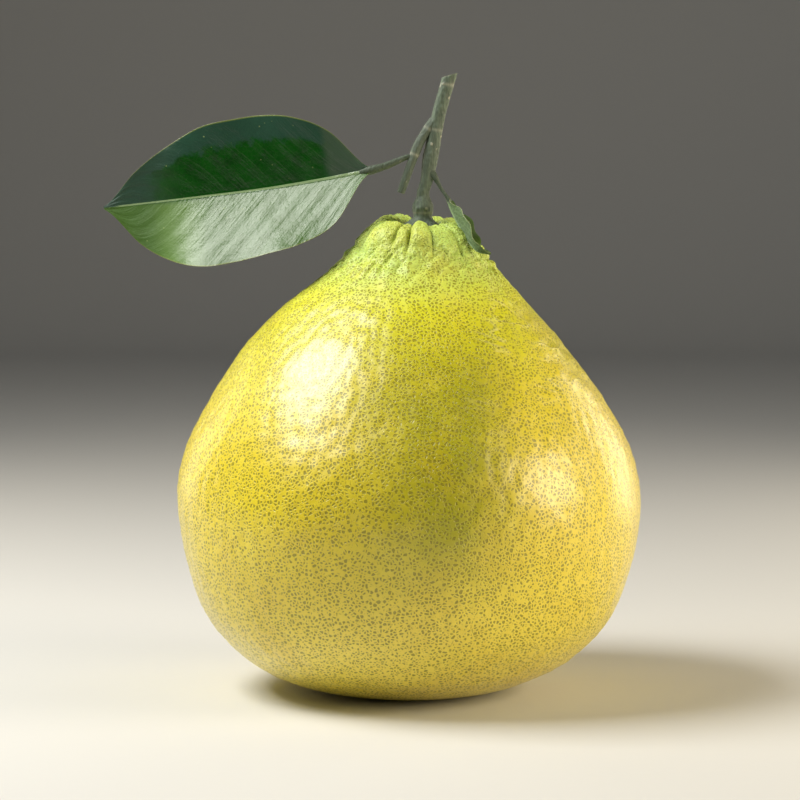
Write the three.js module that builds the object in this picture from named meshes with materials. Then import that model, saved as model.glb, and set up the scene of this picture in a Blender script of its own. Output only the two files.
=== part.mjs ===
// A pomelo as picked: the fruit with its calyx, a short cut stem with one side twig,
// one broad leaf and one small folded leaf. Millimetres, +Z up, the front faces -Y.
// The origin is the middle of the small flat spot that the fruit rests on.
import * as THREE from 'three';
import { ParametricGeometry } from 'three/addons/geometries/ParametricGeometry.js';

// ---------- driving dimensions ----------
const FRUIT_RADIUS = 80; // at the widest place
const RIM_HEIGHT = 163.2; // top of the knobbly collar
const REST_RADIUS = 20; // the flat spot under the fruit
const CAVITY_FLOOR = 160.2; // where the calyx sits, inside the collar
const NECK_LEAN = 3.2; // the neck leans this far to +X
const SHOULDER_LEAN = 1.2; // and the shoulders lean this far to -X
const COLLAR_LOBES = 9;
const LOBE_DEPTH = 0.08; // share of the radius
const RIM_TILT = 0.9; // the back of the rim is higher, and the front lower, by this much

const STEM_FOOT_X = 4.7; // the stem stands a little to one side of the fruit's middle
const CALYX_RADIUS = 5.6;
const CALYX_HEIGHT = 11.2;
const STEM_RADIUS = 2.35;
const TWIG_RADIUS = 1.45;
const PETIOLE_RADIUS = 1.25;
const GAP = 0.3; // between touching pieces

const LARGE_LEAF_HALF_WIDTH = 29;
const SMALL_LEAF_HALF_WIDTH = 6;
const LEAF_THICKNESS = 0.7;

const vector = ([x, y, z]) => new THREE.Vector3(x, y, z);
const smooth = THREE.MathUtils.smoothstep;

// Turns a list of values at even steps into a smooth function of 0..1.
function evenly(values) {
  const curve = new THREE.SplineCurve(values.map((value, i) => new THREE.Vector2(i, value)));
  return (t) => curve.getPoint(t).y;
}

// A closed surface is drawn row by row. Its first and last rows shrink to a point, and the
// rows between them run over the curve from 0 to 1, so a curve keeps its ends and gets caps.
function rowPosition(along, rows) {
  return {
    t: THREE.MathUtils.clamp((along * rows - 1) / (rows - 2), 0, 1),
    isEnd: along === 0 || along === 1,
  };
}

// ---------- the fruit ----------
// Half of the fruit's outline, as radius and height: from the edge of the flat spot, up the
// belly and the shoulders, over the rim of the collar and down to the cavity's floor.
const FRUIT_OUTLINE = new THREE.SplineCurve(
  [
    [REST_RADIUS, 0],
    [33.5, 1.7],
    [45.3, 5.7],
    [57.8, 13.2],
    [70.2, 27],
    [77.6, 46],
    [FRUIT_RADIUS, 67],
    [76.6, 85],
    [67.9, 102],
    [55.6, 119.5],
    [42.6, 133],
    [31.6, 143.5],
    [25, 150.5],
    [20.4, 156.8],
    [17, 161],
    [13.2, RIM_HEIGHT],
    [9.2, 162.2],
    [7.4, CAVITY_FLOOR],
  ].map(([radius, height]) => new THREE.Vector2(radius, height)),
);
const FRUIT_SIDES = 72;
const FRUIT_ROWS = 44;

// 0 on the ridge of a collar lobe and 1 in the groove beside it; the lobes differ in width.
function lobeGroove(angle) {
  const wander = 0.35 * Math.sin(2 * angle + 1) + 0.25 * Math.sin(5 * angle);
  return 1 - Math.abs(Math.sin((COLLAR_LOBES * angle) / 2 + wander)) ** 0.7;
}

// The grooves are deepest at the rim and run out where the shoulder begins.
function fruitPoint(around, along, target) {
  const { t, isEnd } = rowPosition(along, FRUIT_ROWS);
  const angle = 2 * Math.PI * around;
  const { x: outlineRadius, y: height } = FRUIT_OUTLINE.getPoint(t);
  const collar = smooth(height, 143, 158);
  const radius = isEnd ? 0 : outlineRadius * (1 - LOBE_DEPTH * collar * lobeGroove(angle));
  const shoulders = smooth(height, 80, 115) * (1 - smooth(height, 120, 145));
  const middle = NECK_LEAN * smooth(height, 132, 160) - SHOULDER_LEAN * shoulders;
  const tilt = RIM_TILT * smooth(height, CAVITY_FLOOR, RIM_HEIGHT) * Math.sin(angle);
  return target.set(middle + radius * Math.cos(angle), radius * Math.sin(angle), height + tilt);
}

// ---------- round pieces: calyx, stem, twig and petioles ----------
const through = (...points) => new THREE.CatmullRomCurve3(points.map(vector));

// Sizes from end to end, given as shares of one radius.
const taper = (radius, ...shares) => shares.map((share) => share * radius);

// A turned piece bent along a curve, with its radius given at even steps from end to end.
function roundPiece(line, radii, sides, rows) {
  const radiusAt = evenly(radii);
  return new ParametricGeometry(
    (around, along, target) => {
      const { t, isEnd } = rowPosition(along, rows);
      const forward = line.getTangentAt(t);
      const side = new THREE.Vector3(0, -1, 0).cross(forward).normalize();
      const front = forward.clone().cross(side);
      const radius = isEnd ? 0 : radiusAt(t);
      const angle = 2 * Math.PI * around;
      return target
        .copy(line.getPointAt(t))
        .addScaledVector(side, radius * Math.cos(angle))
        .addScaledVector(front, radius * Math.sin(angle));
    },
    sides,
    rows,
  );
}

// The calyx is a spreading foot, a waist, a swollen knuckle and a narrow top.
const calyxFoot = CAVITY_FLOOR + GAP;
const calyxTop = calyxFoot + CALYX_HEIGHT;
const calyxLine = through([STEM_FOOT_X - 0.1, 0, calyxFoot], [STEM_FOOT_X + 0.2, 0, calyxTop]);
const calyxRadii = taper(CALYX_RADIUS, 0.95, 1, 0.82, 0.65, 0.59, 0.63, 0.645, 0.58, 0.44, 0.385);

const stemLine = through(
  [STEM_FOOT_X + 0.2, 0, calyxTop + GAP],
  [STEM_FOOT_X + 0.35, 0, calyxTop + 2],
  [6.2, 0, 177.2],
  [7.2, 0, 183.5],
  [8.6, 0, 190.9],
  [10.5, 0, 200.4],
  [14, 0, 212.9],
);
const stemRadii = taper(STEM_RADIUS, 0.88, 0.92, 1.12, 1.1, 1, 0.98, 1, 1, 0.97);

// The twig leaves the left side of the stem and turns down beside it.
const twigLine = through(
  [5.6, -0.6, 195],
  [3.5, -1, 189.8],
  [1.5, -1.3, 185],
  [-0.3, -1.5, 180],
  [-2.7, -1.6, 172.8],
);
const twigRadii = taper(TWIG_RADIUS, 0.85, 1.08, 1.12, 1, 1, 1, 0.92);

// The petioles run from the twig and the stem to a small gap before their blades.
const largePetioleLine = through(
  [-1.2, -1.4, 184.7],
  [-3, -1.6, 184],
  [-7.5, -1.9, 182.2],
  [-13.2, -2, 180.5],
);
const largePetioleRadii = taper(PETIOLE_RADIUS, 0.55, 0.8, 0.96, 1, 0.92, 0.8);
const smallPetioleLine = through([9.2, -1.3, 177.3], [11, -1.8, 174.2], [13.4, -2.6, 170.9]);
const smallPetioleRadii = taper(PETIOLE_RADIUS, 0.76, 0.56, 0.48, 0.52);

// ---------- leaves ----------
// A leaf has a midrib from its petiole to its tip, a direction that its upper face looks in,
// and two halves, each with its width at even steps along the midrib as a share of the half
// width. Each half folds up out of the flat by its own angle.
const largeLeaf = {
  midrib: through(
    [-13.7, -2, 180.5],
    [-31.1, 3, 177.1],
    [-50.8, 8.5, 173.8],
    [-73.1, 13.5, 171],
    [-90.8, 16, 168.9],
    [-106.8, 16, 167.1],
  ),
  facing: vector([-0.08, -1, 0.14]),
  halfWidth: LARGE_LEAF_HALF_WIDTH,
  upper: evenly([0.05, 0.56, 0.79, 0.88, 0.87, 0.82, 0.645, 0.375, 0.04]),
  lower: evenly([0.05, 0.64, 0.87, 0.945, 0.985, 0.97, 0.83, 0.525, 0.04]),
  upperFold: 8,
  lowerFold: 27,
};
const smallLeaf = {
  midrib: through(
    [13.7, -2.8, 170.5],
    [15.2, -5.2, 166.3],
    [17.6, -9.2, 161.5],
    [20.3, -13.6, 156.8],
    [23.4, -16.8, 153.4],
    [27.8, -17.2, 152.4],
  ),
  facing: vector([0.78, -0.05, 0.62]),
  halfWidth: SMALL_LEAF_HALF_WIDTH,
  upper: evenly([0.1, 0.85, 1, 0.7, 0.45, 0.1]),
  lower: evenly([0.1, 0.8, 1, 0.8, 0.55, 0.1]),
  upperFold: 50,
  lowerFold: 50,
};

// A thin closed blade. around goes over the upper face and back under the lower one.
function leafBlade(leaf, sides, rows) {
  return new ParametricGeometry(
    (around, along, target) => {
      const { t, isEnd } = rowPosition(along, rows);
      const forward = leaf.midrib.getTangentAt(t);
      const normal = leaf.facing.clone().projectOnPlane(forward).normalize();
      const side = normal.clone().cross(forward);
      const across = isEnd ? 0 : Math.cos(2 * Math.PI * around);
      const face = isEnd ? 0 : Math.sin(2 * Math.PI * around);
      const isLower = across > 0;
      const fold = THREE.MathUtils.degToRad(isLower ? leaf.lowerFold : leaf.upperFold);
      const reach = across * leaf.halfWidth * (isLower ? leaf.lower(t) : leaf.upper(t));
      const lift = Math.abs(reach) * Math.sin(fold);
      const skin = (Math.sign(face) * Math.abs(face) ** 0.4 * LEAF_THICKNESS) / 2;
      return target
        .copy(leaf.midrib.getPointAt(t))
        .addScaledVector(side, reach * Math.cos(fold))
        .addScaledVector(normal, lift + skin);
    },
    sides,
    rows,
  );
}

// ---------- the assembly ----------
const skinOf = (color, roughness) => new THREE.MeshStandardMaterial({ color, roughness, metalness: 0 });
const peel = skinOf(0xd2c23c, 0.42);
const bark = skinOf(0x5f6350, 0.6);
const leafGreen = skinOf(0x1f4a1c, 0.3);
const stalkGreen = skinOf(0x53603a, 0.5);

const pomelo = new THREE.Group();

function addPiece(name, geometry, material) {
  const piece = new THREE.Mesh(geometry, material);
  piece.name = name;
  pomelo.add(piece);
}

addPiece('fruit', new ParametricGeometry(fruitPoint, FRUIT_SIDES, FRUIT_ROWS), peel);
addPiece('calyx', roundPiece(calyxLine, calyxRadii, 18, 16), bark);
addPiece('stem', roundPiece(stemLine, stemRadii, 14, 20), bark);
addPiece('side_twig', roundPiece(twigLine, twigRadii, 12, 14), bark);
addPiece('large_leaf_petiole', roundPiece(largePetioleLine, largePetioleRadii, 10, 12), stalkGreen);
addPiece('large_leaf_blade', leafBlade(largeLeaf, 20, 24), leafGreen);
addPiece('small_leaf_petiole', roundPiece(smallPetioleLine, smallPetioleRadii, 10, 10), stalkGreen);
addPiece('small_leaf_blade', leafBlade(smallLeaf, 16, 16), leafGreen);

export default pomelo;
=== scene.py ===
"""A pomelo as picked: the fruit, its calyx, a cut stem with a side twig, and two leaves.

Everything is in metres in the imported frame: +Z up, the front faces -Y, and the fruit rests on z = 0.
"""

import itertools
import math

import bmesh
import bpy
import numpy as np
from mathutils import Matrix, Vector


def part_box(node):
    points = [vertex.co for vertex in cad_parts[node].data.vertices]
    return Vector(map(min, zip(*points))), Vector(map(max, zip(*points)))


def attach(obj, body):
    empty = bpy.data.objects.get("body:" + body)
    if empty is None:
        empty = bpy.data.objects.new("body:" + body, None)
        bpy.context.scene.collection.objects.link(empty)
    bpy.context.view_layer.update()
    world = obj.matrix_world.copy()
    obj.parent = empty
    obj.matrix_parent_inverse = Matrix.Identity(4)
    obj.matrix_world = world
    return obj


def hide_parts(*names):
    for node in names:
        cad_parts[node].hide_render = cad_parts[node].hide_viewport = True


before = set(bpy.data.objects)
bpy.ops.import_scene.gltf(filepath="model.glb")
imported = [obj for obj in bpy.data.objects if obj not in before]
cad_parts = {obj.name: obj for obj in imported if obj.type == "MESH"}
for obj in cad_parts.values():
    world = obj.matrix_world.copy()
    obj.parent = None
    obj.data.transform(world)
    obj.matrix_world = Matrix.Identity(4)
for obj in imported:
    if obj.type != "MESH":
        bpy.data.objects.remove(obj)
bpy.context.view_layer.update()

bl_info = {
    "name": "Pomelo",
    "version": (1, 0, 0),
    "blender": (4, 5, 0),
    "location": "View3D > Sidebar > Pomelo",
    "description": "Builds a pomelo with its calyx, stem, side twig and leaves",
    "category": "Add Mesh",
}

MM = 0.001
BODY = "root"
TURN = 2 * math.pi


# ---------- curves and noise ----------


def smooth(value, low, high):
    """0 below low, 1 above high, and 3 t^2 - 2 t^3 of the share t of the way between them."""
    t = np.clip((np.asarray(value, float) - low) / (high - low), 0, 1)
    return t * t * (3 - 2 * t)


def bell(value, middle, width):
    """1 at the middle, falling as exp(-((value - middle) / width)^2)."""
    return np.exp(-(((value - middle) / width) ** 2))


def through(points, t):
    """A smooth curve through points as t goes from 0 to 1.

    Each stretch between two points is the cubic whose slope at either end is half of the way
    between the neighbours of that end (Catmull-Rom).
    """
    points = np.asarray(points, float)
    last = len(points) - 1
    x = np.clip(t, 0, 1) * last
    i = np.minimum(x.astype(int), last - 1)
    a, b, c, d = (points[np.clip(i + k, 0, last)] for k in (-1, 0, 1, 2))
    w = (x - i).reshape(x.shape + (1,) * (points.ndim - 1))
    slope, bend = c - a, 2 * a - 5 * b + 4 * c - d
    return b + 0.5 * w * (slope + w * (bend + w * (3 * (b - c) + d - a)))


def even(points, t):
    """The same curve, with t sharing out its length evenly."""
    fine = through(points, np.linspace(0, 1, 800))
    length = np.concatenate([[0], np.cumsum(np.linalg.norm(np.diff(fine, axis=0), axis=1))])
    return np.stack([np.interp(t * length[-1], length, column) for column in fine.T], axis=-1)


def unit(vectors):
    """The vectors at length 1."""
    return vectors / np.linalg.norm(vectors, axis=-1, keepdims=True)


def waves(places, size, seed, count=48):
    """Rolling noise of about -1 to 1: plane waves of about that size in random directions."""
    rng = np.random.default_rng(seed)
    ways = unit(rng.normal(size=(count, 3))) * (TURN / size) * rng.uniform(0.7, 1.4, (count, 1))
    phases = rng.uniform(0, TURN, count)
    total = sum(np.sin(places @ way + phase) for way, phase in zip(ways, phases))
    return total / math.sqrt(count)


def scatter(cell, seed):
    """A place from 0 to 1 on each axis for each lattice cell, from its mixed-up whole numbers."""
    x, y, z = (cell[..., axis].astype(np.uint32) for axis in range(3))
    mixed = x * np.uint32(73856093) ^ y * np.uint32(19349663) ^ z * np.uint32(83492791)
    mixed = mixed ^ np.uint32(seed * 2654435761 % 2**32)
    places = []
    for _ in range(3):
        mixed = (mixed ^ (mixed >> np.uint32(15))) * np.uint32(2246822519)
        mixed = mixed ^ (mixed >> np.uint32(13))
        places.append((mixed & np.uint32(0xFFFF)) / 0xFFFF)
    return np.stack(places, axis=-1)


def cells(places, size, seed):
    """Distances to the nearest and the next nearest of points scattered one to a cube of that size.

    Both are in cube sizes. Their difference is 0 along the seams between the points' own regions.
    """
    here = places / size
    corner = np.floor(here).astype(np.int64)
    nearest = np.full(places.shape[:-1], 9.0)
    second = nearest.copy()
    for step in itertools.product((-1, 0, 1), repeat=3):
        cell = corner + np.array(step)
        far = np.linalg.norm(cell + scatter(cell, seed) - here, axis=-1)
        second = np.minimum(second, np.maximum(nearest, far))
        nearest = np.minimum(nearest, far)
    return nearest, second


# ---------- meshes ----------


def closed_grid(name, rows, marks=None):
    """A closed mesh from a grid of points: each row is a ring, and the first and last rows are
    closed to a point at their own middle. marks are named values of the grid's points.
    """
    count, ring = rows.shape[:2]
    index = np.arange(count * ring).reshape(count, ring)
    near, far = index[:-1], index[1:]
    quads = np.stack([near, np.roll(near, -1, 1), np.roll(far, -1, 1), far], axis=-1).reshape(-1, 4)
    first, last = count * ring, count * ring + 1
    start = np.stack([np.roll(index[0], -1), index[0], np.full(ring, first)], axis=-1)
    end = np.stack([index[-1], np.roll(index[-1], -1), np.full(ring, last)], axis=-1)
    points = np.concatenate([rows.reshape(-1, 3), rows[[0, -1]].mean(axis=1)])
    mesh = bpy.data.meshes.new(name)
    mesh.from_pydata(points, [], quads.tolist() + start.tolist() + end.tolist())
    mesh.polygons.foreach_set("use_smooth", np.ones(len(mesh.polygons), bool))
    for mark, values in (marks or {}).items():
        values = np.broadcast_to(values, rows.shape[:2])
        flat = np.concatenate([values.ravel(), values[[0, -1]].mean(axis=1)])
        mesh.attributes.new(mark, "FLOAT", "POINT").data.foreach_set("value", flat.astype(np.float32))
    mesh.update()
    require_closed(mesh)
    made = bpy.data.objects.new(name, mesh)
    bpy.context.scene.collection.objects.link(made)
    return made


def require_closed(mesh):
    """Raises an error unless every edge joins two faces and the faces look outward."""
    shell = bmesh.new()
    shell.from_mesh(mesh)
    volume = shell.calc_volume(signed=True)
    is_open = any(not edge.is_manifold for edge in shell.edges)
    shell.free()
    if is_open or volume <= 0:
        raise ValueError(f"{mesh.name} is not a closed surface that faces outward")


def settle(made, material, node):
    """Gives the piece its material, hangs it under the body's empty and hides the CAD part of that
    node.
    """
    made.data.materials.append(material)
    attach(made, BODY)
    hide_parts(node)


def surface_normals(rows):
    """Outward unit normals of a grid: the slope along a ring crossed with the slope across rings."""
    along_ring = np.roll(rows, -1, 1) - np.roll(rows, 1, 1)
    across = np.gradient(rows, axis=0)
    return unit(np.cross(along_ring, across) + 1e-15)


# ---------- materials ----------


class Wire:
    """One value in a recipe. Sums and products of wires add Math nodes."""

    def __init__(self, recipe, socket):
        self.recipe = recipe
        self.socket = socket

    def math(self, operation, *values, **settings):
        sockets = dict(enumerate(values))
        return self.recipe.node("Math", {"operation": operation, **settings}, sockets)

    def __add__(self, other):
        return self.math("ADD", self, other)

    def __sub__(self, other):
        return self.math("SUBTRACT", self, other)

    def __rsub__(self, other):
        return self.math("SUBTRACT", other, self)

    def __mul__(self, other):
        return self.math("MULTIPLY", self, other)

    __radd__ = __add__
    __rmul__ = __mul__

    def size(self):
        """The value without its sign."""
        return self.math("ABSOLUTE", self)

    def part(self):
        """What is left over after the whole number below the value."""
        return self.math("FRACT", self)

    def most(self, other):
        """The larger of the two."""
        return self.math("MAXIMUM", self, other)

    def rise(self, low, high):
        """0 below low, 1 above high and smooth between them."""
        spans = {"Value": self, "From Min": low, "From Max": high}
        return self.recipe.node("MapRange", {"interpolation_type": "SMOOTHSTEP"}, spans)

    def fall(self, low, high):
        """1 below low, 0 above high and smooth between them."""
        return 1 - self.rise(low, high)


class Recipe:
    """A material and the nodes that it is made of. Sizes are in metres."""

    # the Mix node's factor, and the places of its two colours and of its mixed colour
    COLOUR_SOCKETS = ("Factor", 6, 7)
    COLOUR_OUTPUT = 2

    def __init__(self, name):
        self.material = bpy.data.materials.new(name)
        self.material.use_nodes = True
        self.tree = self.material.node_tree
        self.tree.nodes.clear()
        self.place = self.node("TexCoord", {}, {}, "Object")

    def node(self, kind, settings, sockets, output=0):
        """Adds one shader node: its settings first, then the values or wires of its sockets."""
        made = self.tree.nodes.new("ShaderNode" + kind)
        for name, value in settings.items():
            setattr(made, name, value)
        for key, value in sockets.items():
            if isinstance(value, Wire):
                self.tree.links.new(value.socket, made.inputs[key])
            else:
                made.inputs[key].default_value = value
        return Wire(self, made.outputs[output])

    def mark(self, name):
        """A named value that the mesh carries."""
        return self.node("Attribute", {"attribute_name": name}, {}, "Fac")

    def axis(self, name):
        """The place's distance from the origin along the axis of that name."""
        return self.node("SeparateXYZ", {}, {0: self.place}, name)

    def stretched(self, shape):
        """The place with each axis scaled, so that a pattern read there is drawn out."""
        return self.node("Mapping", {}, {"Vector": self.place, "Scale": shape})

    def noise(self, size, detail=3.0, roughness=0.55, where=None, output="Fac"):
        """Cloudy noise of about 0 to 1, with its largest lumps of that size."""
        sockets = {
            "Vector": where or self.place,
            "Scale": 1 / size,
            "Detail": detail,
            "Roughness": roughness,
        }
        return self.node("TexNoise", {}, sockets, output)

    def cells(self, size, feature="F1", where=None):
        """A distance in a pattern of scattered cells of that size, as a share of the size."""
        sockets = {"Vector": where or self.place, "Scale": 1 / size}
        return self.node("TexVoronoi", {"feature": feature}, sockets, "Distance")

    def blend(self, share, first, second):
        """The first colour where share is 0 and the second where it is 1."""
        colours = [c if isinstance(c, Wire) else (*c, 1.0) for c in (first, second)]
        sockets = dict(zip(self.COLOUR_SOCKETS, [share, *colours]))
        return self.node("Mix", {"data_type": "RGBA"}, sockets, self.COLOUR_OUTPUT)

    def relief(self, height, depth, base=None):
        """A normal bent by height, which is worth depth in metres where it is 1."""
        sockets = {"Height": height, "Distance": depth}
        if base:
            sockets["Normal"] = base
        return self.node("Bump", {}, sockets)

    def finish(self, colour, roughness, normal, **fixed):
        """Closes the recipe with its surface. fixed are plain numbers for the shader's own sockets."""
        sockets = {"Base Color": colour, "Roughness": roughness, "Normal": normal}
        sockets.update({name.replace("_", " "): value for name, value in fixed.items()})
        shader = self.node("BsdfPrincipled", {}, sockets, "BSDF")
        surface = self.tree.nodes.new("ShaderNodeOutputMaterial").inputs["Surface"]
        self.tree.links.new(shader.socket, surface)
        return self.material


# ---------- settings ----------


def length(name, description, default):
    return bpy.props.FloatProperty(
        name=name, description=description, default=default, min=0.0, precision=5, unit="LENGTH"
    )


def share(name, description, default):
    return bpy.props.FloatProperty(
        name=name, description=description, default=default, min=0.0, max=1.0, subtype="FACTOR"
    )


def tint(name, description, default):
    return bpy.props.FloatVectorProperty(
        name=name, description=description, default=default, size=3, min=0.0, max=1.0, subtype="COLOR"
    )


def power(name, description, default):
    return bpy.props.FloatProperty(
        name=name, description=description, default=default, min=0.0, unit="POWER"
    )


class FruitSettings(bpy.types.PropertyGroup):
    """The peel's relief and colours."""

    lobe_depth: length("Lobe depth", "Depth of the grooves between the collar's lobes", 0.0013)
    knuckle_height: length("Knuckle height", "How far a lobe swells out below the rim", 0.0010)
    knob_height: length("Knob height", "Height of the knobs below the lobes", 0.0009)
    crease_height: length("Crease height", "Height of the creases across the shoulders", 0.0003)
    pebble_height: length("Pebble height", "Height of the low bumps all over the peel", 0.00028)
    pore_spacing: length("Pore spacing", "Distance between neighbouring oil glands", 0.00125)
    pore_depth: length("Pore depth", "Depth of the pit over an oil gland", 0.0002)
    yellow: tint("Yellow", "Peel on the belly", (0.82, 0.645, 0.014))
    green: tint("Green", "Peel on the shoulders", (0.70, 0.705, 0.015))
    collar: tint("Collar", "Peel on the collar", (0.52, 0.68, 0.13))
    pore: tint("Pore", "Oil glands seen through the peel", (0.26, 0.225, 0.0))


class StalkSettings(bpy.types.PropertyGroup):
    """Bark and petioles."""

    bark: tint("Bark", "Young grey-green bark", (0.135, 0.18, 0.12))
    bark_dark: tint("Dark bark", "Bark in furrows and shade", (0.08, 0.105, 0.07))
    cork: tint("Cork", "Pale corky specks and ridges", (0.36, 0.36, 0.27))
    wood: tint("Wood", "Wood on a cut end", (0.34, 0.32, 0.14))
    twig: tint("Twig", "Greener bark of the side twig", (0.075, 0.10, 0.062))
    stalk: tint("Stalk", "Petioles", (0.042, 0.066, 0.032))


class LeafSettings(bpy.types.PropertyGroup):
    """Both leaves."""

    thickness: length("Thickness", "Thickness of a blade", 0.00045)
    quilting: length("Quilting", "Height of the blade between its side veins", 0.00007)
    green: tint("Green", "Upper face of the large leaf", (0.003, 0.060, 0.002))
    # painted reflection: a teal-grey sheen towards the margins, standing in for the floor reflected in
    # the upper face
    painted_sheen: tint("Painted_sheen", "Waxy bloom towards the margins", (0.022, 0.062, 0.040))
    fresh: tint("Fresh green", "Yellower green towards the tip", (0.09, 0.20, 0.012))
    vein: tint("Vein", "Midribs and side veins", (0.24, 0.34, 0.16))
    under: tint("Underside", "Lower face of a blade", (0.11, 0.17, 0.07))
    margin: tint("Margin", "Thin pale edge of a blade", (0.20, 0.24, 0.06))


class StageSettings(bpy.types.PropertyGroup):
    """Camera, lights and floor."""

    distance: length("Distance", "Camera to the fruit's axis", 1.1)
    elevation: bpy.props.FloatProperty(
        name="Elevation",
        description="Camera's angle above the horizon",
        default=math.radians(5.0),
        subtype="ANGLE",
    )
    view_width: length("View width", "Width of the view at the fruit", 0.2776)
    key_power: power("Key", "Power of the key light", 8.4)
    side_power: power("Side", "Power of the side light", 5.6)
    rim_power: power("Rim", "Power of each rim light", 1.8)
    floor: tint("Floor", "Floor and backdrop", (0.68, 0.67, 0.64))


SETTINGS = {
    "pomelo_fruit": FruitSettings,
    "pomelo_stalks": StalkSettings,
    "pomelo_leaves": LeafSettings,
    "pomelo_stage": StageSettings,
}


# ---------- the fruit ----------

# Half of the fruit's outline, as shares of its radius and of the rim's height: the scar under
# it, the flat spot, the belly, the shoulders, the rim of the collar and the cavity's floor.
OUTLINE = [
    (0.006, 0.009),
    (0.040, 0.0075),
    (0.075, 0.0028),
    (0.115, 0.0),
    (0.18, 0.0),
    (0.25, 0.0),
    (0.419, 0.0104),
    (0.566, 0.0349),
    (0.723, 0.0809),
    (0.878, 0.1654),
    (0.970, 0.2819),
    (1.0, 0.4105),
    (0.958, 0.5208),
    (0.849, 0.6250),
    (0.695, 0.7322),
    (0.533, 0.8149),
    (0.395, 0.8793),
    (0.3125, 0.9222),
    (0.255, 0.9608),
    (0.2125, 0.9865),
    (0.165, 1.0),
    (0.115, 0.9939),
    (0.0925, 0.9816),
    (0.05, 0.977),
    (0.012, 0.976),
]
NECK_LEAN = 3.2 * MM
SHOULDER_LEAN = 1.2 * MM
RIM_TILT = 1.3 * MM
RIM_ALLOWANCE = 0.9 * MM  # left under the CAD rim for the tilt and the bumps of this one

# Heights in millimetres over which each feature fades in, and those over which it fades out.
COLLAR = (143, 157)
NECK = (132, 160)
SHOULDERS, SHOULDERS_END = (80, 115), (120, 145)
CREASES, CREASES_END = (92, 112), (138, 148)
GROOVES_UP, FURROWS = (151, 157.5), (130, 148)
KNOBS, KNOBS_END = (141, 150), (153, 158)
BUMPY_RIM = (157, 162)
OFF_THE_FLOOR = (0.4, 9)
KNUCKLE_AT, KNUCKLE_SPREAD = 157, 2.8

# Shares of the way along the outline: where the underside ends, and between which shares it
# turns inside the rim and into the cavity.
UNDERSIDE = 0.3
INSIDE_RIM = (0.83, 0.86)
IN_CAVITY = (0.875, 0.9)

# Rolling waves: their size and height in millimetres, and the seed of their noise.
ROLLING = [(52, 0.35, 1), (21, 0.06, 2), (6.5, 0.05, 13)]
# Knobs: their size in millimetres, the seed of their places, and their share of the height.
KNOB_SIZES = [(5.6, 7, 1.0), (3.0, 9, 0.45)]
# Flaps of peel that stand up at the back of the rim: angle in degrees, height, width in radians.
FLAPS = [(128, 0.9, 0.22), (62, 0.7, 0.3)]

# The grooves between the collar's lobes, in degrees from the front towards +X.
GROOVES = [-64, -24, -9, 13, 42, 70, 100, 131, 162, 190, 222, 256]


def climb(height, span):
    """0 below the span and 1 above it; the span is in millimetres."""
    return smooth(height, span[0] * MM, span[1] * MM)


def domes(nearest, second, high, fall, step):
    """The height of bumps in a pattern of cells: high - fall * distance, with steps at the seams."""
    return high - fall * nearest + step * smooth(second - nearest, 0, 0.3)


def collar_lobes(angle):
    """(0 in a groove to 1 on a lobe's ridge, the lobe's own size from 0 to 1) at each angle.

    Across a lobe the height is (1 - |x|^2.5)^0.55 of the share x from its ridge to its groove.
    """
    turned = (np.degrees(angle) + 90 - GROOVES[0]) % 360 + GROOVES[0]
    edges = np.array([*GROOVES, GROOVES[0] + 360])
    lobe = np.interp(turned, edges, np.arange(len(edges)))
    number = np.minimum(lobe.astype(int), len(GROOVES) - 1)
    ridge = (1 - np.abs(2 * (lobe - number) - 1) ** 2.5).clip(0) ** 0.55
    sizes = np.random.default_rng(4).uniform(0, 1, len(GROOVES))
    return ridge, sizes[number]


def leaning_rows(radius, height, angle, rim):
    """The outline turned round a leaning axis, with its rim higher at the back."""
    shoulders = climb(height, SHOULDERS) * (1 - climb(height, SHOULDERS_END))
    middle = NECK_LEAN * climb(height, NECK) - SHOULDER_LEAN * shoulders
    tilt = RIM_TILT * smooth(height, 0.98 * rim, rim) * np.sin(angle)
    x = middle + radius * np.cos(angle)
    y = radius * np.sin(angle) + 0 * height
    return np.stack([x, y, height + tilt], axis=-1)


def belly_relief(rows, height, settings):
    """Rolling waves, and low pebbles that are domes in a pattern of scattered cells."""
    push = sum(rise * MM * waves(rows, size * MM, seed) for size, rise, seed in ROLLING)
    pebbles = domes(*cells(rows, 4.4 * MM, 3), 0.55, 1.0, 0.5)
    return (push + settings.pebble_height * pebbles) * climb(height, OFF_THE_FLOOR)


def creased_share(rows, height, angle):
    """How creased the peel is: most on the +X side of the shoulders, in patches."""
    shoulder = climb(height, CREASES) * (1 - climb(height, CREASES_END))
    right = 0.15 + 0.85 * smooth(np.cos(angle), 0.1, 0.6)
    return shoulder * right * smooth(waves(rows, 24 * MM, 14), -0.5, 0.6)


def lobe_relief(height, ridge, size, groove_reach, settings):
    """(push of the lobes and their grooves, push of each lobe's knuckle and the furrows below).

    A larger lobe stands out further, and its knuckle sits higher.
    """
    lobes = settings.lobe_depth * groove_reach * ((0.75 + 0.5 * size) * ridge - 0.95)
    at_knuckle = bell(height - lobe_foot(size), KNUCKLE_AT * MM, KNUCKLE_SPREAD * MM)
    knuckles = settings.knuckle_height * (ridge * (0.4 + 0.8 * size) - 0.2) * at_knuckle
    furrow_reach = climb(height, FURROWS) * (1 - groove_reach)
    return lobes, knuckles + 0.2 * MM * furrow_reach * (ridge - 0.8)


def lobe_foot(size):
    """How much higher than usual a lobe of that size begins."""
    return (3.5 * size - 2) * MM


def knob_relief(rows, height, settings):
    """Knobs of two sizes under the lobes: domes in a stirred pattern of cells."""
    knobbly = climb(height, KNOBS) * (1 - climb(height, KNOBS_END))
    stirred = rows + 0.8 * MM * waves(rows, 6 * MM, 6)[..., None]
    push = 0
    for size, seed, weight in KNOB_SIZES:
        knob = domes(*cells(stirred, size * MM, seed), 0.25, 1.3, 0.6)
        push = push + weight * settings.knob_height * knobbly * knob
    return push


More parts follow.
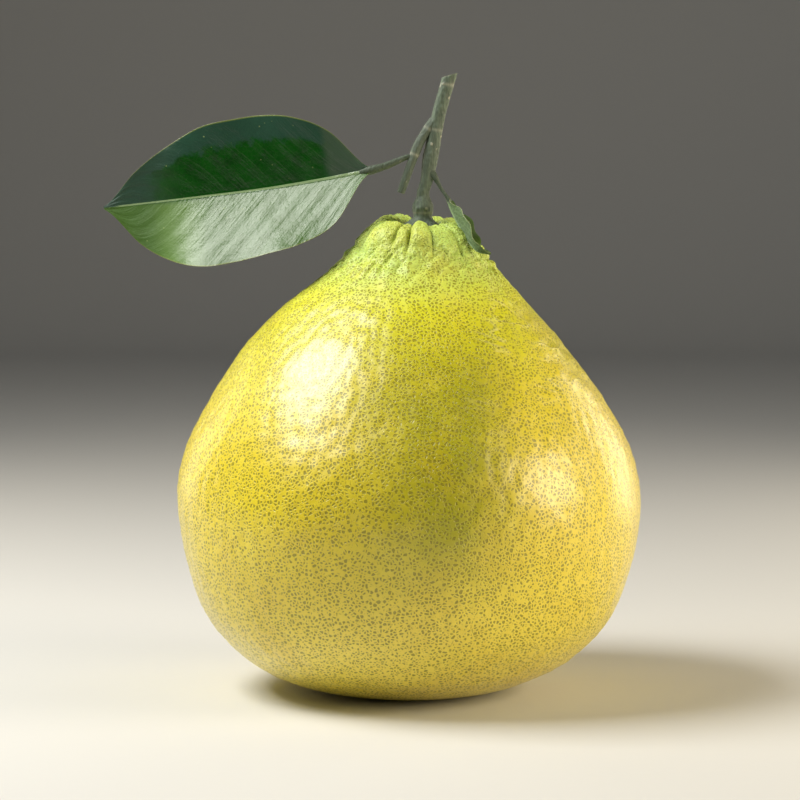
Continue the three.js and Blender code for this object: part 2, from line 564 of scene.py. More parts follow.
def fruit_skin(settings, columns=400, row_count=244):
    """The peel as a grid: the outline turned round the leaning axis, then pushed in and out.

    It is pushed along its normal by rolling waves, by low pebbles, by the collar's lobes with
    their grooves, and by knobs and pits under the lobes. Then the rim's top is made uneven.
    """
    low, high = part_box("fruit")
    radius_scale = (high[0] - low[0]) / 2
    rim = high[2] - RIM_ALLOWANCE
    t = np.linspace(0, 1, row_count)
    outline = through(OUTLINE, t)
    radius, height = outline[:, :1] * radius_scale, outline[:, 1:].clip(0) * rim
    angle = np.linspace(0, TURN, columns, endpoint=False)[None, :]
    rows = leaning_rows(radius, height, angle, rim)

    in_cavity = smooth(t[:, None], *IN_CAVITY)
    ridge, size = collar_lobes(angle)
    groove_reach = climb(height - lobe_foot(size), GROOVES_UP) * (1 - in_cavity)
    belly = belly_relief(rows, height, settings)
    creased = creased_share(rows, height, angle)
    creases = settings.crease_height * creased * waves(rows * [0.3, 0.3, 1], 5 * MM, 12)
    lobes, knuckles = lobe_relief(height, ridge, size, groove_reach, settings)
    outside = 1 - smooth(t[:, None], *INSIDE_RIM)
    knobs = outside * knob_relief(rows, height, settings)
    push = (1 - in_cavity) * (belly + knuckles) + creases + lobes + knobs
    rows = rows + surface_normals(rows) * push[..., None]

    flaps = sum(rise * bell(angle, math.radians(at), width) for at, rise, width in FLAPS)
    uneven = (size - 0.7) * ridge + flaps + 0.25 * waves(rows, 4 * MM, 8)
    rows[..., 2] += climb(height, BUMPY_RIM) * (1 - in_cavity) * MM * uneven
    below = t[:, None] < UNDERSIDE
    on_flat = (height < 0.02 * MM) & below
    rows[..., 2] = np.where(on_flat, 0, rows[..., 2].clip(0))

    marks = {
        "collar": climb(height, COLLAR),
        "groove": groove_reach * (1 - ridge),
        "scar": np.where(below, 1 - smooth(radius, 3.0 * MM, 6.5 * MM), 0),
        "cavity": in_cavity,
        "creased": creased,
    }
    return rows, marks


# Colours that drift over the peel, and the colours of painted shade and painted floor-bounce light.
PALE_PATCH = (0.84, 0.70, 0.05)
GOLD_PATCH = (0.72, 0.50, 0.01)
# painted shade: the dark band down the front, between the key light and the side light
OLIVE_PAINTED_SHADE = (0.34, 0.34, 0.0)
# painted light: floor bounce on the lowest part of the peel
PALE_BASE_PAINTED_BOUNCE = (0.98, 0.82, 0.13)
CREASE_CREAM = (0.92, 0.86, 0.35)
# painted shade: darker green in the grooves between the collar's lobes
GROOVE_PAINTED_SHADE = (0.20, 0.27, 0.03)
SCAR_BROWN = (0.13, 0.09, 0.03)
# painted shade: darker green in the cavity under the calyx
CAVITY_PAINTED_SHADE = (0.20, 0.24, 0.07)


def peel_colour(recipe, settings):
    """Yellow, greener up to the collar, in patches; painted shade as an olive band down the front, and
    painted floor-bounce light as paler peel at the base.
    """
    height, flank = recipe.axis("Z"), recipe.axis("X")
    drift = recipe.noise(0.030, detail=2.0)
    patch = recipe.noise(0.012, detail=4.0)
    green_share = (height + 0.05 * (drift - 0.5)).rise(0.085, 0.150)
    skin = recipe.blend(green_share, settings.yellow, settings.green)
    collar_share = (height + 0.02 * (patch - 0.5)).rise(0.132, 0.152)
    skin = recipe.blend(collar_share, skin, settings.collar)
    # painted shade: an olive band down the front, only on the side that faces the camera
    olive = (flank + 0.01 * (drift - 0.5)).rise(-0.035, 0.014) * flank.fall(0.019, 0.043)
    in_front = recipe.axis("Y").fall(-0.03, 0.0)
    olive = olive * height.rise(0.03, 0.07) * height.fall(0.105, 0.14) * in_front
    skin = recipe.blend(0.85 * olive, skin, OLIVE_PAINTED_SHADE)
    # painted light: the base of the peel made paler, as if lit by light bounced up from the floor
    skin = recipe.blend(0.7 * height.fall(0.010, 0.055), skin, PALE_BASE_PAINTED_BOUNCE)
    skin = recipe.blend(0.35 * patch.rise(0.45, 0.75), skin, PALE_PATCH)
    return recipe.blend(0.30 * drift.rise(0.50, 0.75), skin, GOLD_PATCH), patch


def stirred_place(recipe):
    """The place, moved up to 0.7 mm by a coloured noise whose lumps are 2.4 mm."""
    stir = recipe.noise(1 / 420, detail=2.0, roughness=0.5, output="Color")
    offset = recipe.node("VectorMath", {"operation": "SCALE"}, {0: stir, "Scale": 0.0007})
    return recipe.node("VectorMath", {"operation": "ADD"}, {0: recipe.place, 1: offset})


def crease_threads(recipe, stirred):
    """1 along thin lines that run across the shoulders and slope down to +X.

    They are where a noise drawn out sideways passes through its middle value.
    """
    leaning = {"Vector": stirred, "Angle": math.radians(-20)}
    leant = recipe.node("VectorRotate", {"rotation_type": "Y_AXIS"}, leaning)
    drawn = recipe.node("Mapping", {}, {"Vector": leant, "Scale": (0.2, 0.2, 1.0)})
    thread = (recipe.noise(0.0050, detail=1.0, where=drawn) - 0.5).size().fall(0.0, 0.035)
    return thread * recipe.mark("creased")


def peel_material(settings):
    """Waxy yellow peel, greener towards the collar, with an olive pit over every oil gland."""
    recipe = Recipe("pomelo peel")
    skin, patch = peel_colour(recipe, settings)
    collar, stirred = recipe.mark("collar"), stirred_place(recipe)

    wall = recipe.cells(settings.pore_spacing, "DISTANCE_TO_EDGE", where=stirred)
    gland_size = recipe.noise(0.005, detail=2.0)
    pit = (wall + 0.12 * (gland_size - 0.5)).rise(0.11, 0.29)
    thread = crease_threads(recipe, stirred)
    skin = recipe.blend(pit * (0.80 - 0.60 * collar), skin, settings.pore)
    skin = recipe.blend(0.26 * thread, skin, CREASE_CREAM)
    # painted shade in the grooves between the lobes
    skin = recipe.blend(0.35 * recipe.mark("groove"), skin, GROOVE_PAINTED_SHADE)
    skin = recipe.blend(recipe.mark("scar"), skin, SCAR_BROWN)
    # painted shade in the cavity under the calyx
    skin = recipe.blend(recipe.mark("cavity"), skin, CAVITY_PAINTED_SHADE)

    cobble = recipe.cells(0.0030, feature="SMOOTH_F1", where=stirred)
    crinkle = recipe.noise(0.0018, detail=2.0, where=stirred)
    normal = recipe.relief(recipe.noise(0.0060, detail=2.0), 0.0002)
    normal = recipe.relief(1 - cobble, 0.00022, normal)
    normal = recipe.relief(crinkle * collar, 0.0011, normal)
    normal = recipe.relief(thread, 0.0003, normal)
    normal = recipe.relief(1 - pit, settings.pore_depth, normal)
    matt = recipe.axis("Z").rise(0.130, 0.143)
    return recipe.finish(
        skin,
        0.39 + 0.16 * matt + 0.10 * pit + 0.10 * (patch - 0.5),
        normal,
        Subsurface_Weight=0.08,
        Subsurface_Radius=(0.6, 0.45, 0.1),
        Subsurface_Scale=0.003,
        Specular_IOR_Level=0.4,
        Coat_Weight=0.95 - 0.8 * matt,
        Coat_Roughness=0.35,
    )


class MakeFruit(bpy.types.Operator):
    """Makes the fruit: a pear-shaped body with a knobbly, grooved collar round its calyx."""

    bl_idname = "pomelo.make_fruit"
    bl_label = "Fruit"

    def execute(self, context):
        settings = context.scene.pomelo_fruit
        rows, marks = fruit_skin(settings)
        made = closed_grid("pomelo_fruit", rows, marks)
        settle(made, peel_material(settings), "fruit")
        return {"FINISHED"}


# ---------- round pieces ----------


def frames_along(line, t):
    """Middle, direction, side and front of a curve at each t. The side lies across the curve in
    the plane of the front view, and the front faces the viewer."""
    middle = even(line, t)
    forward = unit(np.gradient(middle, axis=0))
    side = unit(np.cross(np.array([0.0, -1.0, 0.0]), forward))
    return middle, forward, side, np.cross(forward, side)


# Rings that close an end: the share of the radius, and the distance beyond the end in radii.
CUT_END = (
    (1.0, 0.0),
    (0.96, 0.10),
    (0.88, 0.13),
    (0.80, 0.06),
    (0.5, 0.0),
    (0.2, -0.04),
    (0.06, -0.06),
)
ROUND_END = ((1.0, 0.0), (0.9, 0.25), (0.7, 0.5), (0.4, 0.68), (0.1, 0.75))


def round_piece(line, radii, shape, sides, row_count, end=ROUND_END, slant=0.0):
    """A turned piece bent along a curve: the middle plus radius * (side cos a + front sin a).

    radii are even steps from end to end, and shape(t, a, points) scales the radius at each
    point. slant tips the far end by that much rise for each step to the side.
    """
    t = np.linspace(0, 1, row_count)
    rings = [(0.0, s, -d) for s, d in reversed(ROUND_END)] + [(x, 1.0, 0.0) for x in t[1:-1]]
    rings += [(1.0, s, d) for s, d in end]
    at, shrink, beyond = (np.array(column)[:, None] for column in zip(*rings))
    middle, forward, side, front = (v[:, None, :] for v in frames_along(line, at[:, 0]))
    # the direction is kept on the cap's rings, where the curve itself stands still
    forward, side, front = (hold_ends(v, len(ROUND_END), len(end)) for v in (forward, side, front))
    radius = through(radii, at)
    angle = np.linspace(0, TURN, sides, endpoint=False)[None, :]
    outward = side * np.cos(angle)[..., None] + front * np.sin(angle)[..., None]
    radius = radius * shrink * shape(at, angle, middle + radius[..., None] * outward)
    rise = beyond * through(radii, at) + slant * smooth(at, 0.9, 1.0) * radius * np.cos(angle)
    rows = middle + radius[..., None] * outward + forward * rise[..., None]
    marks = {"along": at + 0 * angle, "cut": cut_mark(at, shrink) + 0 * angle}
    return rows, marks


def hold_ends(vectors, first, last):
    """The same directions, with the capped ends taking those of the first and last real ring."""
    held = vectors.copy()
    held[:first] = vectors[first + 1]
    held[-last:] = vectors[-last - 2]
    return held


def cut_mark(at, shrink):
    """How deep inside the far end's cut a ring lies: 0 on the bark, 1 at the pith."""
    return np.where(at >= 1.0, 1 - shrink, 0.0)


PITH = (0.50, 0.47, 0.26)


def bark_material(name, base, settings, specks):
    """Young bark: fine streaks along the stalk, dark furrows, pale corky specks, wood on a cut."""
    recipe = Recipe(name)
    drawn = recipe.stretched((1.0, 1.0, 0.16))
    streak = recipe.noise(0.0007, detail=4.0, where=drawn)
    fibre = recipe.noise(0.00028, detail=2.0, where=drawn)
    blotch = recipe.noise(0.004, detail=3.0)
    colour = recipe.blend(streak.rise(0.35, 0.7), settings.bark_dark, base)
    colour = recipe.blend(0.45 * blotch.rise(0.45, 0.7), colour, settings.bark_dark)
    speck = recipe.cells(0.00286).fall(0.14, 0.26)
    speck = speck * recipe.noise(0.005, detail=1.0).rise(0.46, 0.56) * specks
    colour = recipe.blend(speck, colour, settings.cork)
    colour = recipe.blend(0.5 * recipe.mark("crest"), colour, settings.cork)
    cut = recipe.mark("cut")
    colour = recipe.blend(cut.rise(0.03, 0.10), colour, settings.wood)
    colour = recipe.blend(cut.rise(0.72, 0.85), colour, PITH)
    normal = recipe.relief(streak, 0.00035)
    normal = recipe.relief(fibre, 0.00008, normal)
    normal = recipe.relief(speck, 0.00025, normal)
    return recipe.finish(colour, 0.52 + 0.2 * streak + 0.1 * speck, normal)


# The middle of the calyx and of the stem, from the fruit's cavity to the cut, in millimetres.
STEM_LINE = [
    (4.9, 0.0, 170.6),
    (5.05, 0.0, 173.6),
    (6.2, 0.0, 177.2),
    (7.2, 0.0, 183.5),
    (8.6, 0.0, 190.9),
    (10.5, 0.0, 200.4),
    (14.0, 0.0, 212.9),
]
STEM_RADII = [2.2, 2.05, 2.25, 2.6, 2.6, 2.4, 2.35, 2.3, 2.3, 2.3, 2.35]
CALYX_LINE = [(4.6, 0.0, 159.6), (4.75, 0.0, 165.0), (4.9, 0.0, 172.2)]
CALYX_RADII = [5.2, 5.5, 5.3, 4.3, 3.45, 3.25, 3.5, 3.62, 3.45, 3.0, 2.4, 2.05]
TWIG_LINE = [
    (9.0, 0.1, 197.6),
    (6.7, -0.4, 194.8),
    (3.6, -1.0, 190.0),
    (1.6, -1.3, 185.2),
    (-0.3, -1.5, 180.0),
    (-2.8, -1.6, 172.9),
]
TWIG_RADII = [1.9, 1.85, 1.6, 1.6, 1.68, 1.5, 1.42, 1.42, 1.38, 1.3]
LARGE_PETIOLE_LINE = [
    (0.9, -1.3, 185.3),
    (-1.2, -1.5, 184.9),
    (-3.2, -1.7, 184.1),
    (-7.5, -1.9, 182.3),
    (-12.0, -2.0, 180.9),
    (-16.5, -1.2, 179.9),
]
LARGE_PETIOLE_RADII = [0.9, 0.95, 1.1, 1.2, 1.25, 1.4, 1.45, 0.9]
SMALL_PETIOLE_LINE = [
    (7.6, -0.8, 180.2),
    (9.4, -1.3, 177.3),
    (11.0, -1.8, 174.3),
    (13.3, -2.6, 171.0),
    (14.6, -3.6, 168.4),
]
SMALL_PETIOLE_RADII = [1.3, 1.1, 0.72, 0.6, 0.6, 0.7, 0.6]


def in_metres(points):
    return np.asarray(points, float) * MM


def ridged(count, depth, twist, seed):
    """A shape with that many ridges running along the piece, uneven and slowly twisting."""

    def shape(t, angle, points):
        ridges = np.cos(count * angle + twist * t + 1.3 * np.sin(angle * 2 + seed))
        rough = waves(points, 1.6 * MM, seed, 30)
        return 1 + depth * ridges + 0.5 * depth * rough

    return shape


def calyx_shape(t, angle, points):
    """The calyx's foot spreads into five uneven points, and its knuckle is furrowed."""
    star = 0.16 * np.cos(5 * angle + 0.9) + 0.07 * np.cos(2 * angle)
    foot = 1 - smooth(t, 0.10, 0.42)
    knuckle = bell(t, 0.62, 0.18)
    furrows = 0.008 * np.cos(11 * angle + 3 * t) + 0.025 * waves(points, 2.6 * MM, 21, 30)
    return 1 + star * foot + furrows * (0.4 + knuckle)


class MakeCalyx(bpy.types.Operator):
    """Makes the calyx: a star-shaped foot, a waist and a swollen knuckle under the stem."""

    bl_idname = "pomelo.make_calyx"
    bl_label = "Calyx"

    def execute(self, context):
        settings = context.scene.pomelo_stalks
        line, radii = in_metres(CALYX_LINE), in_metres(CALYX_RADII)
        rows, marks = round_piece(line, radii, calyx_shape, 96, 150)
        marks["cut"] = np.zeros_like(marks["cut"])
        along = marks["along"]
        marks["crest"] = bell(along, 0.50, 0.035) + 0.6 * (1 - smooth(along, 0.0, 0.2))
        made = closed_grid("pomelo_calyx", rows, marks)
        material = bark_material("calyx skin", settings.bark, settings, 0.5)
        settle(made, material, "calyx")
        return {"FINISHED"}


class MakeStem(bpy.types.Operator):
    """Makes the main stem, ridged along its length and cut slantwise at the top."""

    bl_idname = "pomelo.make_stem"
    bl_label = "Stem"

    def execute(self, context):
        settings = context.scene.pomelo_stalks
        line, radii = in_metres(STEM_LINE), in_metres(STEM_RADII)
        rows, marks = round_piece(
            line, radii, ridged(5, 0.045, 1.2, 31), 64, 220, end=CUT_END, slant=-0.62
        )
        along = marks["along"]
        marks["crest"] = 1.2 * bell(along, 0.93, 0.012) + 0.9 * bell(along, 0.56, 0.012)
        made = closed_grid("pomelo_stem", rows, marks)
        material = bark_material("stem bark", settings.bark, settings, 1.0)
        settle(made, material, "stem")
        return {"FINISHED"}


class MakeSideTwig(bpy.types.Operator):
    """Makes the side twig, which leaves the stem on the left and turns down to a cut end."""

    bl_idname = "pomelo.make_side_twig"
    bl_label = "Side twig"

    def execute(self, context):
        settings = context.scene.pomelo_stalks
        line, radii = in_metres(TWIG_LINE), in_metres(TWIG_RADII)
        rows, marks = round_piece(line, radii, ridged(4, 0.035, 0.8, 41), 48, 160, end=CUT_END)
        along = marks["along"]
        marks["crest"] = 1.2 * bell(along, 0.50, 0.02) + 0.8 * bell(along, 0.14, 0.02)
        made = closed_grid("pomelo_side_twig", rows, marks)
        material = bark_material("twig bark", settings.twig, settings, 0.8)
        settle(made, material, "side_twig")
        return {"FINISHED"}


class MakePetioles(bpy.types.Operator):
    """Makes both leaf stalks, from the twig and the stem to their blades."""

    bl_idname = "pomelo.make_petioles"
    bl_label = "Petioles"

    def execute(self, context):
        settings = context.scene.pomelo_stalks
        for name, line, radii, node in (
            ("pomelo_large_petiole", LARGE_PETIOLE_LINE, LARGE_PETIOLE_RADII, "large_leaf_petiole"),
            ("pomelo_small_petiole", SMALL_PETIOLE_LINE, SMALL_PETIOLE_RADII, "small_leaf_petiole"),
        ):
            shape = ridged(3, 0.05, 0.5, 51)
            rows, marks = round_piece(in_metres(line), in_metres(radii), shape, 40, 110)
            marks["cut"] = marks["crest"] = np.zeros_like(marks["cut"])
            made = closed_grid(name, rows, marks)
            material = bark_material(name + " skin", settings.stalk, settings, 0.3)
            settle(made, material, node)
        return {"FINISHED"}


# ---------- leaves ----------

# A leaf's midrib, the way its upper face looks, the half width of each half at even steps
# from petiole to tip, and the angles in degrees that each half folds up by: at the midrib and
# at the margin, at even steps from petiole to tip. Lengths are in millimetres.
LARGE_LEAF = {
    "midrib": [
        (-13.7, -2.0, 180.5),
        (-31.1, 3.0, 177.1),
        (-50.8, 8.5, 173.8),
        (-73.1, 13.5, 171.0),
        (-90.8, 16.0, 168.9),
        (-106.8, 16.0, 167.1),
    ],
    "facing": (-0.08, -1.0, 0.14),
    "upper": [1.3, 16.2, 23.0, 25.6, 25.3, 23.8, 18.7, 10.9, 0.5],
    "lower": [1.3, 18.6, 25.2, 27.4, 28.6, 28.0, 23.4, 14.9, 0.5],
    "upper_fold": [(10, 5), (11, 5), (11, 5), (10, 5), (8, 4)],
    "lower_fold": [(24, 30), (25, 31), (25, 29), (17, 19), (4, 4)],
    "veins": 11,
    "relief": 1.0,
}
SMALL_LEAF = {
    "midrib": [
        (13.7, -2.8, 170.5),
        (15.2, -5.2, 166.3),
        (17.6, -9.2, 161.5),
        (20.3, -13.6, 156.8),
        (23.4, -16.8, 153.4),
        (27.8, -17.2, 152.4),
    ],
    "facing": (0.78, -0.05, 0.62),
    "upper": [0.6, 3.3, 4.7, 3.7, 2.4, 0.5],
    "lower": [0.6, 3.5, 4.9, 4.3, 3.0, 0.5],
    "upper_fold": [(50, 50), (52, 50), (45, 40)],
    "lower_fold": [(50, 50), (52, 50), (45, 40)],
    "veins": 6,
    "relief": 0.5,
}


def folded_reach(width, distance, fold_in, fold_out):
    """(sideways, upward) travel over a blade that leaves the midrib at fold_in and reaches its
    margin at fold_out, turning evenly: the integrals of cos and sin of the angle."""
    turn = np.where(np.abs(fold_out - fold_in) < 1e-3, 1e-3, fold_out - fold_in)
    angle = fold_in + turn * distance
    sideways = width / turn * (np.sin(angle) - np.sin(fold_in))
    upward = width / turn * (np.cos(fold_in) - np.cos(angle))
    return sideways, upward


def vein_phase(along, across, count):
    """Whole numbers along the side veins, which lean towards the tip on their way to the margin."""
    return count * along - 2.6 * np.abs(across) ** 1.25


def blade(leaf, settings, sides, row_count, ripple):
    """A leaf blade as a closed grid of rings round the midrib.

    A point lies at the midrib plus the folded travel to its distance, plus the skin: half the
    thickness, the quilting between side veins as the cosine of their phase, and the midrib's
    bead. ripple is how far the margin waves.
    """
    t = np.linspace(0, 1, row_count)[:, None]
    angle = np.linspace(0, TURN, sides, endpoint=False)[None, :]
    spread = np.cos(angle)
    across = np.sign(spread) * np.abs(spread) ** 1.5
    face = np.sign(np.sin(angle)) * np.abs(np.sin(angle)) ** 0.35
    low = across > 0
    widths, folds = {}, {}
    for half in ("upper", "lower"):
        widths[half] = through(in_metres(leaf[half]), t)
        folds[half] = np.radians(through(leaf[half + "_fold"], t[:, 0]))
    width = np.where(low, widths["lower"], widths["upper"])
    fold = np.where(low[..., None], folds["lower"][:, None], folds["upper"][:, None])
    distance = np.abs(across)
    sideways, upward = folded_reach(width, distance, fold[..., 0], fold[..., 1])

    midrib = in_metres(leaf["midrib"])
    middle = even(midrib, t[:, 0])
    forward = unit(np.gradient(middle, axis=0))
    facing = np.array(leaf["facing"])
    normal = unit(facing - (forward @ facing)[:, None] * forward)
    side = np.cross(normal, forward)

    taper = smooth(t, 0.0, 0.04) * (1 - smooth(t, 0.95, 1.0))
    phase = vein_phase(t, across, leaf["veins"]) + np.where(low, 0.35, 0.0)
    quilt = leaf["relief"] * settings.quilting * taper * np.cos(TURN * phase)
    quilt = quilt * smooth(distance, 0.02, 0.25) * (1 - 0.6 * smooth(distance, 0.7, 1.0))
    wave = ripple * distance**3 * np.sin(TURN * (3.1 * t + np.where(low, 0.2, 0.55))) * taper
    reach = distance * width
    bead = 1 - 0.8 * t
    top_bead = 0.30 * MM * bead * bell(reach, 0, 0.45 * MM)
    low_bead = 0.65 * MM * bead * bell(reach, 0, 0.75 * MM)
    skin = face * settings.thickness / 2 + np.where(face > 0, top_bead, -low_bead) * np.abs(face)
    lift = upward + quilt + wave + skin
    rows = (
        middle[:, None, :]
        + side[:, None, :] * (np.sign(across) * sideways)[..., None]
        + normal[:, None, :] * lift[..., None]
    )
    marks = {
        "along": t + 0 * angle,
        "across": across + 0 * t,
        "top": (face > 0) + 0 * t,
        "from_midrib": reach / MM,
        "vein": phase,
    }
    return rows, marks


# painted light: lighter green for the half of the upper face that meets the key light
LIT_HALF_PAINTED_GREEN = (0.07, 0.15, 0.008)
# painted reflection: grey sheen near the petiole end of the upper face
GREY_PAINTED_SHEEN = (0.055, 0.085, 0.050)
SPECK_GREEN = (0.35, 0.42, 0.16)
SMALL_LEAF_COLOURS = (0.12, 0.15, 0.09), (0.12, 0.2, 0.03)


def leaf_material(name, leaf_colours, settings, gloss, sheen_share):
    """A leaf's skin: glossy green above with pale veins and margin, dull and pale below. Painted light
    makes the half of the upper face that meets the key light a lighter green, and a painted teal-grey
    reflection lies towards the margins and the ends.
    """
    green, fresh = leaf_colours
    recipe = Recipe(name)
    along, across = recipe.mark("along"), recipe.mark("across")
    from_midrib, top = recipe.mark("from_midrib"), recipe.mark("top")
    out = across.size()
    vein = ((recipe.mark("vein") + 0.5).part() - 0.5).size()
    vein_line = vein.fall(0.02, 0.07) * out.rise(0.01, 0.10) * (1 - out.rise(0.80, 0.97))
    net = recipe.cells(0.0016, feature="DISTANCE_TO_EDGE").fall(0.0, 0.10)
    midrib = (from_midrib + 0.25 * along).fall(0.38, 0.62) * along.fall(0.93, 0.97)
    margin = out.rise(0.975, 0.995)
    mottle = recipe.noise(0.006, detail=4.0)

    upper = recipe.blend(mottle.rise(0.35, 0.75), green, tuple(0.6 * c for c in green))
    upper = recipe.blend(fresh_share(along, across), upper, fresh)
    # painted light: the lower half of the upper face made lighter green, where it faces the key light
    upper = recipe.blend(0.6 * across.rise(0.0, 0.05), upper, LIT_HALF_PAINTED_GREEN)
    upper = recipe.blend(0.02 * vein_line, upper, settings.vein)
    upper = recipe.blend(0.02 * net, upper, settings.vein)
    jagged = recipe.noise(0.0035, detail=3.0, roughness=0.7)
    # painted reflection: a teal-grey sheen towards the margins, the petiole end and the tip of the
    # upper face
    sheen_zone = (out + 0.35 * (jagged - 0.5)).rise(0.60, 0.72).most(along.fall(0.10, 0.18))
    sheen_zone = sheen_zone.most((along + 0.1 * jagged).rise(0.80, 0.92))
    upper = recipe.blend(sheen_zone * across.fall(-0.02, 0.02) * sheen_share, upper, settings.painted_sheen)
    # painted reflection: grey sheen on the upper half near the petiole end
    grey_sheen_zone = across.fall(-0.02, 0.02) * (along + 0.03 * (jagged - 0.5)).fall(0.13, 0.17)
    upper = recipe.blend(0.8 * sheen_share * grey_sheen_zone, upper, GREY_PAINTED_SHEEN)
    speck = recipe.cells(0.0032).fall(0.05, 0.11) * recipe.noise(0.009).rise(0.5, 0.6)
    upper = recipe.blend(0.5 * speck, upper, SPECK_GREEN)
    under = recipe.blend(0.5 * vein_line.most(net), settings.under, settings.vein)
    under = recipe.blend(0.3 * mottle, under, tuple(0.5 * c for c in settings.under))
    colour = recipe.blend(top, under, upper)
    colour = recipe.blend(midrib, colour, settings.vein)
    colour = recipe.blend(0.8 * margin, colour, settings.margin)

    pucker = recipe.noise(0.0040, detail=4.0)
    normal = recipe.relief(net, 0.000012)
    normal = recipe.relief(pucker, 0.00028, normal)
    normal = recipe.relief(1 - vein_line, 0.00002, normal)
    streaky = recipe.noise(1.0, detail=4.0, roughness=0.65, where=vein_way(recipe, along, across))
    normal = recipe.relief(streaky, 0.00016, normal)
    dull = 0.30 * along.rise(0.66, 0.80) + 0.10 * mottle + 0.14 * across.rise(0.0, 0.05)
    roughness = gloss + dull + (0.6 - gloss) * (1 - top) + 0.12 * speck
    return recipe.finish(colour, roughness, normal, Specular_IOR_Level=0.42)


def vein_way(recipe, along, across):
    """A place that runs slowly along the side veins and fast from one of them to the next."""
    from_vein = 60 * along - 14 * across.size()
    return recipe.node("CombineXYZ", {}, {"X": from_vein, "Y": 1.5 * across})


def fresh_share(along, across):
    """Where the blade is a fresher green: a patch on its lower half, a third from the tip."""
    return along.rise(0.58, 0.72) * along.fall(0.74, 0.86) * across.rise(0.0, 0.10) * 0.9


class MakeLargeLeaf(bpy.types.Operator):
    """Makes the broad leaf's blade, folded a little along its midrib."""

    bl_idname = "pomelo.make_large_leaf"
    bl_label = "Large leaf"

    def execute(self, context):
        settings = context.scene.pomelo_leaves
        rows, marks = blade(LARGE_LEAF, settings, 200, 240, 0.9 * MM)
        made = closed_grid("pomelo_large_leaf", rows, marks)
        colours = settings.green, settings.fresh
        material = leaf_material("large leaf skin", colours, settings, 0.14, 0.9)
        settle(made, material, "large_leaf_blade")
        return {"FINISHED"}


class MakeSmallLeaf(bpy.types.Operator):
    """Makes the small leaf's blade, folded into a trough that hangs over the collar."""

    bl_idname = "pomelo.make_small_leaf"
    bl_label = "Small leaf"

    def execute(self, context):
        settings = context.scene.pomelo_leaves
        rows, marks = blade(SMALL_LEAF, settings, 160, 160, 0.5 * MM)
        made = closed_grid("pomelo_small_leaf", rows, marks)
        material = leaf_material("small leaf skin", SMALL_LEAF_COLOURS, settings, 0.22, 0.0)
        settle(made, material, "small_leaf_blade")
        return {"FINISHED"}


# ---------- the stage ----------

AIM = Vector((0.0, 0.0, 0.10))
WARM, NEUTRAL = (1.0, 0.88, 0.68), (1.0, 0.99, 0.95)
# Each light's way from the fruit, distance and size in metres, colour, and share of a power.
LIGHTS = [
    ("key", (-0.62, -0.10, 0.78), 0.75, (0.50, 0.32), NEUTRAL, 1.0, "key_power"),
    ("side", (0.92, -0.27, 0.24), 0.8, (0.40, 0.44), WARM, 1.0, "side_power"),
    ("rim left", (-0.75, 0.62, 0.05), 0.8, (0.25, 0.6), WARM, 0.7, "rim_power"),
    ("rim right", (0.75, 0.62, 0.05), 0.8, (0.25, 0.6), WARM, 1.2, "rim_power"),
]
SKY, SKY_STRENGTH = (0.9, 0.95, 1.0, 1.0), 0.06
FRAME_MIDDLE = (-3.1, 0.0, 101.0)  # in millimetres
SENSOR_WIDTH = 36.0  # in millimetres


def area_light(name, direction, distance, size, colour, power):
    """A soft square light that looks at the fruit from that direction."""
    lamp = bpy.data.lights.new(name, "AREA")
    lamp.shape = "RECTANGLE"
    lamp.size, lamp.size_y = size
    lamp.energy = power
    lamp.color = colour
    made = bpy.data.objects.new(name, lamp)
    away = Vector(direction).normalized()
    made.location = AIM + away * distance
    made.rotation_euler = away.to_track_quat("Z", "Y").to_euler()
    bpy.context.scene.collection.objects.link(made)


def floor_material(colour):
    """Matt pale card with the faintest mottle."""
    recipe = Recipe("pale floor")
    fleck = recipe.noise(0.004, detail=3.0)
    shade = recipe.blend(0.05 * fleck, colour, [0.8 * c for c in colour])
    return recipe.finish(shade, 0.75 + 0.1 * fleck, recipe.relief(fleck, 0.00003))


def make_backdrop(colour):
    """A floor that curves up into a wall behind: a line, a quarter circle and a line."""
    bend = np.linspace(0, math.pi / 2, 24)
    curve_radius, back, front, half_width, top = 0.6, 1.6, -1.3, 3.0, 2.6
    y = np.concatenate([[front], back + curve_radius * np.sin(bend), [back + curve_radius]])
    z = np.concatenate([[0.0], curve_radius * (1 - np.cos(bend)), [top]])
    points = [(x, py, pz) for py, pz in zip(y, z) for x in (-half_width, half_width)]
    faces = [(2 * i, 2 * i + 1, 2 * i + 3, 2 * i + 2) for i in range(len(y) - 1)]
    mesh = bpy.data.meshes.new("backdrop")
    mesh.from_pydata(points, [], faces)
    mesh.polygons.foreach_set("use_smooth", np.ones(len(faces), bool))
    mesh.materials.append(floor_material(colour))
    made = bpy.data.objects.new("backdrop", mesh)
    bpy.context.scene.collection.objects.link(made)


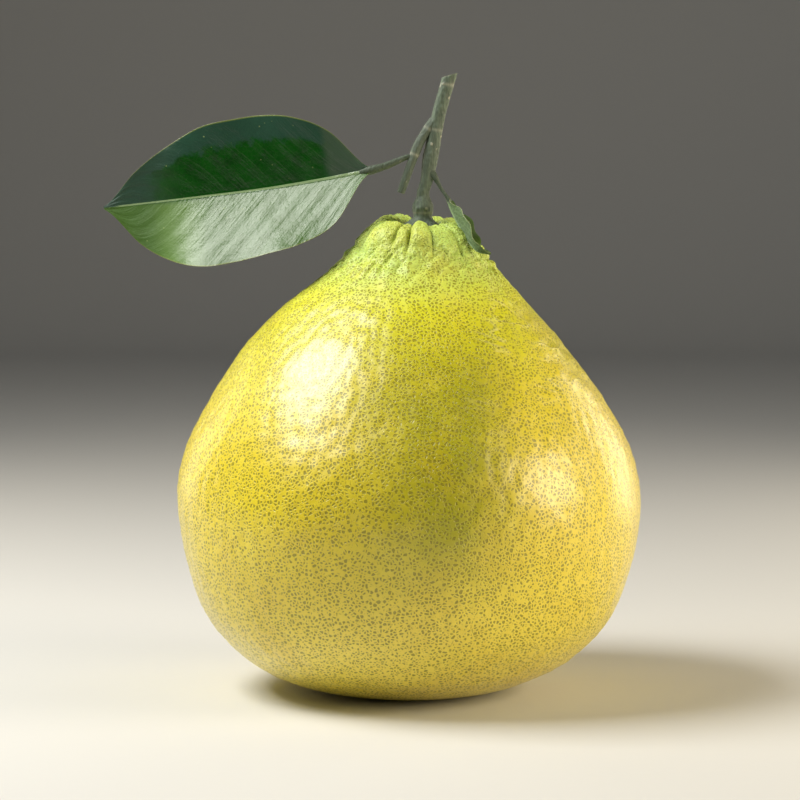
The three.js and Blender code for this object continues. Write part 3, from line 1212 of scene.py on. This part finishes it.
class MakeStage(bpy.types.Operator):
    """Makes the camera, the soft lights and the pale floor."""

    bl_idname = "pomelo.make_stage"
    bl_label = "Stage"

    def execute(self, context):
        settings = context.scene.pomelo_stage
        scene = context.scene
        camera = bpy.data.objects.new("camera", bpy.data.cameras.new("camera"))
        scene.collection.objects.link(camera)
        lift = settings.elevation
        away = Vector((0.0, -math.cos(lift), math.sin(lift)))
        camera.location = Vector(FRAME_MIDDLE) * MM + away * settings.distance
        camera.rotation_euler = away.to_track_quat("Z", "Y").to_euler()
        camera.data.sensor_width = SENSOR_WIDTH
        camera.data.lens = SENSOR_WIDTH * settings.distance / settings.view_width
        camera.data.clip_start = 0.05
        scene.camera = camera

        for *lamp, colour, strength, power_name in LIGHTS:
            area_light(*lamp, colour, strength * getattr(settings, power_name))

        world = bpy.data.worlds.new("studio")
        world.use_nodes = True
        background = world.node_tree.nodes["Background"]
        background.inputs["Color"].default_value = SKY
        background.inputs["Strength"].default_value = SKY_STRENGTH
        scene.world = world
        scene.view_settings.view_transform = "Standard"
        make_backdrop(settings.floor)
        return {"FINISHED"}


# ---------- the add-on ----------

OPERATORS = (
    MakeFruit,
    MakeCalyx,
    MakeStem,
    MakeSideTwig,
    MakePetioles,
    MakeLargeLeaf,
    MakeSmallLeaf,
    MakeStage,
)


class PomeloPanel(bpy.types.Panel):
    """Lists the pieces and their settings."""

    bl_idname = "VIEW3D_PT_pomelo"
    bl_label = "Pomelo"
    bl_space_type = "VIEW_3D"
    bl_region_type = "UI"
    bl_category = "Pomelo"

    def draw(self, context):
        for operator in OPERATORS:
            self.layout.operator(operator.bl_idname)
        for group, kind in SETTINGS.items():
            box = self.layout.box()
            for setting in kind.__annotations__:
                box.prop(getattr(context.scene, group), setting)


def register():
    for kind in (*SETTINGS.values(), *OPERATORS, PomeloPanel):
        bpy.utils.register_class(kind)
    for group, kind in SETTINGS.items():
        setattr(bpy.types.Scene, group, bpy.props.PointerProperty(type=kind))


def unregister():
    for group in SETTINGS:
        delattr(bpy.types.Scene, group)
    for kind in (PomeloPanel, *reversed(OPERATORS), *reversed(list(SETTINGS.values()))):
        bpy.utils.unregister_class(kind)


def main():
    register()
    for operator in OPERATORS:
        group, name = operator.bl_idname.split(".")
        getattr(getattr(bpy.ops, group), name)()


if __name__ == "__main__":
    main()
